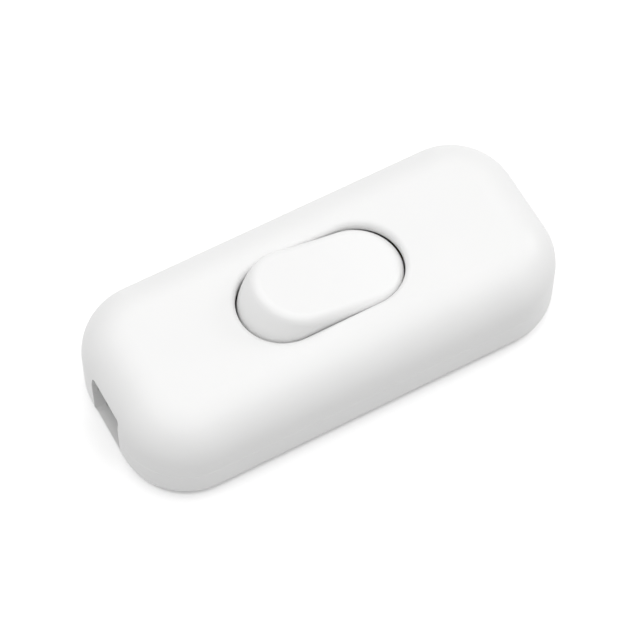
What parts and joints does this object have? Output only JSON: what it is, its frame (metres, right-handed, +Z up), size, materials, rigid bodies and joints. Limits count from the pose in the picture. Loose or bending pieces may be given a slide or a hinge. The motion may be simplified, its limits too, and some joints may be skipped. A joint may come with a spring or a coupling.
{
  "type": "inline cord switch",
  "caption": "White pillow-shaped inline cord switch with an obround rocker, square cord notches in both ends and a seesaw contact mechanism inside.",
  "frame": {"origin": "Middle of the flat underside, at the bottom of the switch.", "axes": "X runs along the cord path, Y across the switch, Z up out of the rocker side."},
  "size_m": [0.062, 0.0272, 0.0186],
  "materials": {
    "housing_white": "white satin moulded plastic",
    "rocker_white": "white satin moulded plastic",
    "clamp_grey": "pale grey moulded plastic",
    "plunger_natural": "natural acetal",
    "blade_brass": "pressed brass strip",
    "terminal_brass": "bare brass",
    "contact_silver": "silver alloy rivet",
    "screw_steel": "zinc-plated steel",
    "spring_steel": "spring wire"
  },
  "bodies": {
    "housing": {"upper_housing": "housing_white", "lower_housing": "housing_white", "line_terminal_front": "terminal_brass", "load_terminal_front": "terminal_brass", "fixed_contact_front": "contact_silver", "line_terminal_rear": "terminal_brass", "load_terminal_rear": "terminal_brass", "fixed_contact_rear": "contact_silver", "terminal_screws": "screw_steel", "cord_clamp_left": "clamp_grey", "cord_clamp_right": "clamp_grey", "clamp_screws": "screw_steel", "housing_screws": "screw_steel"},
    "rocker_button": {"rocker": "rocker_white", "plunger_spring_front": "spring_steel", "plunger_spring_rear": "spring_steel"},
    "plunger_pin_front": {"plunger_front": "plunger_natural"},
    "blade_front": {"contact_blade_front": "blade_brass", "moving_contact_front": "contact_silver"},
    "plunger_pin_rear": {"plunger_rear": "plunger_natural"},
    "blade_rear": {"contact_blade_rear": "blade_brass", "moving_contact_rear": "contact_silver"}
  },
  "joints": [
    {"name": "rocker_hinge", "type": "hinge", "parent": "housing", "child": "rocker_button", "pos_m": [0, 0, 0.0115], "axis": [0, -1, 0], "range_deg": [0, 30]},
    {"name": "plunger_slide_front", "type": "slide", "parent": "rocker_button", "child": "plunger_pin_front", "axis": [0.2588, 0, 0.9659], "range_m": [0, 0.0005], "stiffness_N_per_m": 300, "springref_m": -0.001, "deforming": ["plunger_spring_front"]},
    {"name": "blade_hinge_front", "type": "hinge", "parent": "housing", "child": "blade_front", "pos_m": [0, -0.0027, 0.00659], "axis": [0, 1, 0], "range_deg": [0, 12]},
    {"name": "plunger_slide_rear", "type": "slide", "parent": "rocker_button", "child": "plunger_pin_rear", "axis": [0.2588, 0, 0.9659], "range_m": [0, 0.0005], "stiffness_N_per_m": 300, "springref_m": -0.001, "deforming": ["plunger_spring_rear"]},
    {"name": "blade_hinge_rear", "type": "hinge", "parent": "housing", "child": "blade_rear", "pos_m": [0, 0.0027, 0.00659], "axis": [0, 1, 0], "range_deg": [0, 12]}
  ],
  "couplings": [
    {"joint": "blade_hinge_front", "follows": "rocker_hinge", "ratio": 0.4},
    {"joint": "blade_hinge_rear", "follows": "rocker_hinge", "ratio": 0.4}
  ]
}
